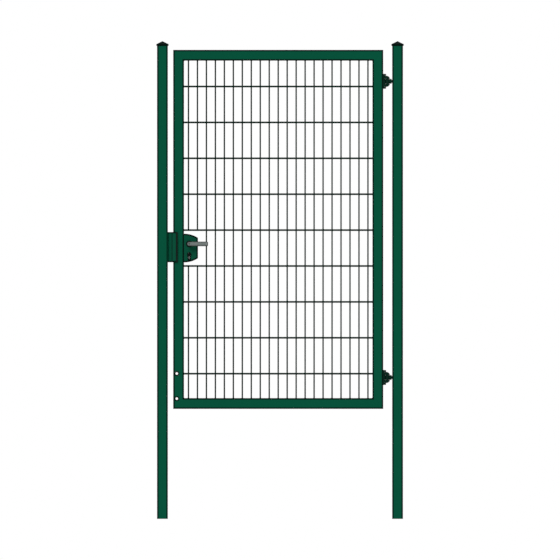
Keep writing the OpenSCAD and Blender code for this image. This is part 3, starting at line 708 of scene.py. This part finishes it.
class GATE_OT_mesh_wires(Operator):
    """Builds the round wires of the double-wire mesh."""
    bl_idname = "gate.mesh_wires"
    bl_label = "Mesh wires"

    def execute(self, context):
        sizes, colours, _ = settings(context)
        x, low, high = upright_places(sizes).T
        uprights = wire_grid(np.stack([x, 0 * x, low], axis=1), np.stack([x, 0 * x, high], axis=1),
                             sizes.upright_d / 2, sizes.wire_sides)
        rows = row_heights(sizes)
        y = cross_wire_y(sizes)
        starts = np.array([[WINDOW[0].x, side * y, z] for z in rows for side in (-1, 1)])
        ends = np.array([[WINDOW[1].x, side * y, z] for z in rows for side in (-1, 1)])
        crossings = wire_grid(starts, ends, sizes.cross_d / 2, sizes.wire_sides)
        make_piece("mesh_wires", [uprights, crossings], "leaf", wire_paint(colours),
                   ["mesh_panel"])
        return {"FINISHED"}


class GATE_OT_mesh_welds(Operator):
    """Adds the flash at every crossing of the wires and the beads where they end on the frame."""
    bl_idname = "gate.mesh_welds"
    bl_label = "Mesh welds"

    def execute(self, context):
        sizes, _, _ = settings(context)
        dice = np.random.default_rng(WELD_SEED)
        paint = bpy.data.materials["wire_coat"]
        make_piece("mesh_welds", [self.flashes(sizes, dice)], "leaf", paint)
        make_piece("wire_beads", self.end_beads(sizes, dice), "leaf", paint)
        return {"FINISHED"}

    def flashes(self, sizes, dice):
        """A blob at each crossing, in front and behind, past both wires by the flash, more or less."""
        half_y, share_y = 0.0016, 0.3
        y = sizes.upright_d / 2 - sizes.weld_sink / 2
        centres = np.array([[x, side * y, z] for x, low, high in upright_places(sizes)
                            for z in row_heights(sizes) if low <= z <= high for side in (-1, 1)])
        halves = np.array([sizes.upright_d / 2, half_y, sizes.cross_d / 2])
        grow = sizes.flash * dice.uniform(0.5, 1.1, (len(centres), 3)) * np.array([1.0, share_y, 1.0])
        return blob_grid(centres, halves + grow)

    def end_beads(self, sizes, dice):
        """Beads round the uprights on the two rails, and round the cross wires on the two stiles."""
        grids = []
        for z, run, column in ((WINDOW[0].z, (0, 0, 1), 1), (WINDOW[1].z, (0, 0, -1), 2)):
            x = np.array([place[0] for place in upright_places(sizes)
                          if abs(place[column] - z) < MEETING])
            feet = np.stack([x, 0 * x, np.full_like(x, z)], axis=1)
            grids.append(self.collars(feet, run, sizes.upright_d, sizes, dice))
        y = cross_wire_y(sizes)
        for x, run in ((WINDOW[0].x, (1, 0, 0)), (WINDOW[1].x, (-1, 0, 0))):
            feet = np.array([[x, side * y, z] for z in row_heights(sizes) for side in (-1, 1)])
            grids.append(self.collars(feet, run, sizes.cross_d, sizes, dice))
        return grids

    def collars(self, feet, run, wire_d, sizes, dice):
        """One bead on each foot, each with its own turn."""
        wobble = dice.uniform(0, 2 * np.pi, len(feet))
        return collar_grid(feet, run, wire_d / 2, sizes.bead, wobble)


class GATE_OT_hinges(Operator):
    """Finishes both hinges and cuts the threads that show between the nut and the post."""
    bl_idname = "gate.hinges"
    bl_label = "Hinges"

    def execute(self, context):
        sizes, colours, _ = settings(context)
        paint = hinge_paint(colours)
        steel = black_steel(colours)
        for level in ("upper", "lower"):
            dress(paint, *(f"{level}_{part}" for part in
                           ("hinge_bracket", "eye_bolt", "lock_nut", "post_insert")))
            dress(steel, f"{level}_hinge_pin", f"{level}_plate_screws")
            make_piece(f"{level}_bolt_thread", [self.thread(sizes, level)], "posts", paint)
        return {"FINISHED"}

    def thread(self, sizes, level):
        """A threaded sleeve, from inside the nut to inside the post. With the phase x / pitch less
        t / 2 pi, and f its fraction, the radius is the shank's plus the depth times |2 f - 1|."""
        tucked, clear = 0.001, 0.00005
        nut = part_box(f"{level}_lock_nut")
        start = nut[0].x + tucked
        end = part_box("hinge_post")[0].x + tucked
        x = np.linspace(start, end, 121)[:, None]
        t = turns(32)[None, :]
        phase = x / sizes.thread_pitch - t / (2 * np.pi)
        ridge = np.abs(2 * (phase - np.floor(phase)) - 1)
        radius = sizes.bolt_d / 2 + clear + sizes.thread_depth * ridge
        points = np.stack([np.broadcast_to(x, radius.shape), radius * np.cos(t),
                           middle(nut).z + radius * np.sin(t)], axis=-1)
        return capped(points[None])


class GATE_OT_keep(Operator):
    """Finishes the keep, its rubber and its screws."""
    bl_idname = "gate.keep"
    bl_label = "Keep"

    def execute(self, context):
        sizes, colours, _ = settings(context)
        dress(keep_paint(sizes, colours), "keep_plate")
        dress(buffer_rubber(colours), "keep_buffer")
        dress(bpy.data.materials["blackened_steel"], "keep_screws")
        return {"FINISHED"}


class GATE_OT_lock(Operator):
    """Finishes the lock case, its covers, the cylinder and the latch bolt."""
    bl_idname = "gate.lock"
    bl_label = "Lock"

    def execute(self, context):
        sizes, colours, _ = settings(context)
        dress(lock_paint(sizes, colours, "lock_paint_case", "lock_case"), "lock_case")
        dress(lock_paint(sizes, colours, "lock_paint_cover", "front_lock_cover"),
              "front_lock_cover", "back_lock_cover")
        dress(moulded_plastic("black_moulding", colours.black),
              "front_escutcheon", "back_escutcheon", "front_rosette", "back_rosette")
        dress(bare_steel(colours), "latch_bolt", "lever_spindle")
        dress(cylinder_nickel(sizes, colours), "lock_cylinder")
        dress(bpy.data.materials["blackened_steel"], "key_plugs")
        return {"FINISHED"}


class GATE_OT_levers(Operator):
    """Builds the two lever handles."""
    bl_idname = "gate.levers"
    bl_label = "Levers"

    def execute(self, context):
        sizes, colours, _ = settings(context)
        metal = lever_aluminium(sizes, colours)
        for name, side in (("front_lever", -1), ("back_lever", 1)):
            grids = [self.grip(sizes, side), self.neck(sizes, side), self.pivot(sizes, side)]
            make_piece(f"{name}_grip", grids, "handle", metal, [name])
        return {"FINISHED"}

    def grip(self, sizes, side):
        """The grip: an outline drawn in by the inset of each row, and towards the grip's middle line
        by the row's share, at the row's height from the middle plane. The rows run from the middle of
        the back over the rounded edge, where the inset is radius (1 - cos a) and the height follows
        radius sin a, to the middle of the crowned front."""
        low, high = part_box("back_lever")
        half = (high.z - low.z) / 2
        reach = high.x - SPINDLE.x
        corner = sizes.grip_corner
        steps = np.linspace(0, np.pi / 2, 9)
        free = np.stack([0 * steps + reach - corner, 0 * steps + half - corner], axis=1)
        top = np.linspace(reach - corner, 0, 16)[1:-1]
        straight = np.stack([top, 0 * top], axis=1)
        bend = np.linspace(np.pi / 2, np.pi, 19)
        cores = np.concatenate([[[reach - corner, 0]], free, straight, np.zeros((len(bend), 2))])
        radii = np.concatenate([[corner], 0 * steps + corner, 0 * top + half, 0 * bend + half])
        angles = np.concatenate([[0], steps, 0 * top + np.pi / 2, bend])
        mirror = np.s_[-2:0:-1]
        cores = np.concatenate([cores, cores[mirror] * [1, -1]])
        radii = np.concatenate([radii, radii[mirror]])
        angles = np.concatenate([angles, -angles[mirror]])
        normals = np.stack([np.cos(angles), np.sin(angles)], axis=1)

        edge = sizes.grip_edge
        thick = sizes.grip_t
        lean = np.linspace(-np.pi / 2, np.pi / 2, 15)
        share = np.linspace(0, 1, 5)[1:]
        flat = thick / 2 - edge
        inset = np.concatenate([0 * share + edge, edge * (1 - np.cos(lean)), 0 * share + edge])
        drawn = np.concatenate([share[::-1], 0 * lean, share])
        crown = sizes.grip_crown * (1 - (1 - share) ** 2)
        rise = np.concatenate([-thick / 2 - crown[::-1], flat * np.sign(lean) + edge * np.sin(lean),
                               thick / 2 + crown])

        outline = cores + (radii - inset[:, None])[..., None] * normals
        spine = np.stack([np.clip(outline[..., 0], 0, reach - half), 0 * outline[..., 0]], axis=-1)
        points = outline + drawn[:, None, None] * (spine - outline)
        y = side * (high.y - thick / 2 + rise)
        grid = np.stack([SPINDLE.x + points[..., 0], np.broadcast_to(y[:, None], points.shape[:2]),
                         SPINDLE.z + points[..., 1]], axis=-1)
        return grid[None]

    def neck(self, sizes, side):
        """The neck, turned about the spindle, with a hollow of the flare's radius where it meets the
        grip: there the neck widens by radius (1 - cos a) as it climbs by radius sin a. It starts inside
        the cover and ends just inside the grip."""
        tucked, overlap = 0.0015, 0.0001
        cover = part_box("back_lock_cover")[1].y
        grip_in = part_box("back_lever")[1].y - sizes.grip_t
        a = np.linspace(0, np.pi / 2, 8)
        flare = sizes.neck_flare
        radii = np.concatenate([[0, sizes.neck_d / 2], sizes.neck_d / 2 + flare * (1 - np.cos(a)), [0]])
        heights = np.concatenate([[cover - tucked] * 2, grip_in - flare + flare * np.sin(a) + overlap,
                                  [grip_in + overlap]])
        return turned_grid(np.stack([radii, heights], axis=1), (SPINDLE.x, 0, SPINDLE.z), side)

    def pivot(self, sizes, side):
        """A turned disc on the grip's front, over the spindle: a raised rim round a hollow."""
        crown_here = 0.6 * sizes.grip_crown
        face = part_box("back_lever")[1].y + crown_here
        r = sizes.pivot_d / 2
        profile = [(share * r, face + rise) for share, rise in PIVOT_PROFILE]
        return turned_grid(profile, (SPINDLE.x, 0, SPINDLE.z), side)


class GATE_OT_stage(Operator):
    """Sets up the white floor, the soft lamps and the camera in front."""
    bl_idname = "gate.stage"
    bl_label = "Stage"

    def execute(self, context):
        stage = context.scene.gate_stage
        context.scene.view_settings.view_transform = "Standard"
        self.sky(context.scene, stage)
        self.floor(context.scene, stage)
        self.lamp(context.scene, "front_lamp", stage.key, stage.softness, FRONT_LAMP_FROM)
        self.lamp(context.scene, "rear_lamp", stage.back, stage.softness, REAR_LAMP_FROM)
        self.camera(context.scene, stage)
        return {"FINISHED"}

    def seen_directly(self, tree):
        """1 for what the camera sees, also in a mirror or through glass, and 0 for light on surfaces."""
        path = tree.nodes.new("ShaderNodeLightPath")
        seen = Field(tree, path.outputs["Is Camera Ray"])
        seen = seen.most(Field(tree, path.outputs["Is Glossy Ray"]))
        return seen.most(Field(tree, path.outputs["Is Transmission Ray"]))

    def sky(self, scene, stage):
        """White where it is seen, and an even plain light otherwise."""
        world = bpy.data.worlds.new("sky")
        world.use_nodes = True
        tree = world.node_tree
        tree.nodes.clear()
        light = tree.nodes.new("ShaderNodeBackground")
        white = tree.nodes.new("ShaderNodeBackground")
        light.inputs["Strength"].default_value = stage.sky
        mix = tree.nodes.new("ShaderNodeMixShader")
        output = tree.nodes.new("ShaderNodeOutputWorld")
        for background in (light, white):
            background.inputs["Color"].default_value = (1, 1, 1, 1)
        tree.links.new(self.seen_directly(tree).socket, mix.inputs[0])
        tree.links.new(light.outputs[0], mix.inputs[1])
        tree.links.new(white.outputs[0], mix.inputs[2])
        tree.links.new(mix.outputs[0], output.inputs["Surface"])
        scene.world = world

    def floor(self, scene, stage):
        """A white floor that keeps the shadow: what the camera adds makes the lit part plain white."""
        centre = middle(CAD_BOX)
        half = stage.floor_half
        corners = [(centre.x + x * half, centre.y + y * half, CAD_BOX[0].z)
                   for x, y in ((-1, -1), (1, -1), (1, 1), (-1, 1))]
        mesh = bpy.data.meshes.new("floor")
        mesh.from_pydata(corners, [], [(0, 1, 2, 3)])
        material = bpy.data.materials.new("floor")
        material.use_nodes = True
        tree = material.node_tree
        tree.nodes.clear()
        matt = tree.nodes.new("ShaderNodeBsdfDiffuse")
        matt.inputs["Color"].default_value = (FLOOR_TONE, FLOOR_TONE, FLOOR_TONE, 1)
        glow = tree.nodes.new("ShaderNodeEmission")
        tree.links.new((self.seen_directly(tree) * stage.floor_glow).socket, glow.inputs["Strength"])
        both = tree.nodes.new("ShaderNodeAddShader")
        output = tree.nodes.new("ShaderNodeOutputMaterial")
        tree.links.new(matt.outputs[0], both.inputs[0])
        tree.links.new(glow.outputs[0], both.inputs[1])
        tree.links.new(both.outputs[0], output.inputs["Surface"])
        mesh.materials.append(material)
        floor = bpy.data.objects.new("floor", mesh)
        scene.collection.objects.link(floor)

    def lamp(self, scene, name, strength, softness, towards):
        """A soft lamp in the given direction from the gate."""
        light = bpy.data.lights.new(name, "SUN")
        light.energy = strength
        light.angle = softness
        lamp = bpy.data.objects.new(name, light)
        lamp.location = middle(CAD_BOX) + Vector(towards) * LAMP_AWAY
        lamp.rotation_euler = Vector(towards).to_track_quat("Z", "Y").to_euler()
        scene.collection.objects.link(lamp)

    def camera(self, scene, stage):
        """A level view from straight in front, without perspective."""
        data = bpy.data.cameras.new("camera")
        data.type = "ORTHO"
        data.ortho_scale = stage.view_height
        data.clip_end = CAMERA_REACH
        camera = bpy.data.objects.new("camera", data)
        camera.location = middle(CAD_BOX) - Vector((0, stage.camera_away, 0))
        camera.rotation_euler = (math.pi / 2, 0, 0)
        scene.collection.objects.link(camera)
        scene.camera = camera


STEPS = (GATE_OT_posts, GATE_OT_leaf_frame, GATE_OT_mesh_wires, GATE_OT_mesh_welds, GATE_OT_hinges,
         GATE_OT_keep, GATE_OT_lock, GATE_OT_levers, GATE_OT_stage)


class GATE_PT_sidebar(Panel):
    """Lists the gate's steps with its sizes and colours."""
    bl_idname = "GATE_PT_sidebar"
    bl_label = "Tubular frame gate"
    bl_space_type = "VIEW_3D"
    bl_region_type = "UI"
    bl_category = "Gate"

    def draw(self, context):
        for step in STEPS:
            self.layout.operator(step.bl_idname)
        for group in settings(context):
            section = self.layout.box().column()
            for name in group.bl_rna.properties.keys():
                if name not in ("rna_type", "name"):
                    section.prop(group, name)


CLASSES = (GateSizes, GateColours, GateStage, *STEPS, GATE_PT_sidebar)


def register():
    """Registers the classes and gives each scene its three groups of settings."""
    for entry in CLASSES:
        bpy.utils.register_class(entry)
    bpy.types.Scene.gate_sizes = PointerProperty(type=GateSizes)
    bpy.types.Scene.gate_colours = PointerProperty(type=GateColours)
    bpy.types.Scene.gate_stage = PointerProperty(type=GateStage)


def unregister():
    """Takes back what register did."""
    del bpy.types.Scene.gate_stage
    del bpy.types.Scene.gate_colours
    del bpy.types.Scene.gate_sizes
    for entry in reversed(CLASSES):
        bpy.utils.unregister_class(entry)


def main():
    """Builds the gate's pieces and its stage."""
    register()
    for step in STEPS:
        getattr(bpy.ops.gate, step.bl_idname.split(".")[1])()


if __name__ == "__main__":
    main()
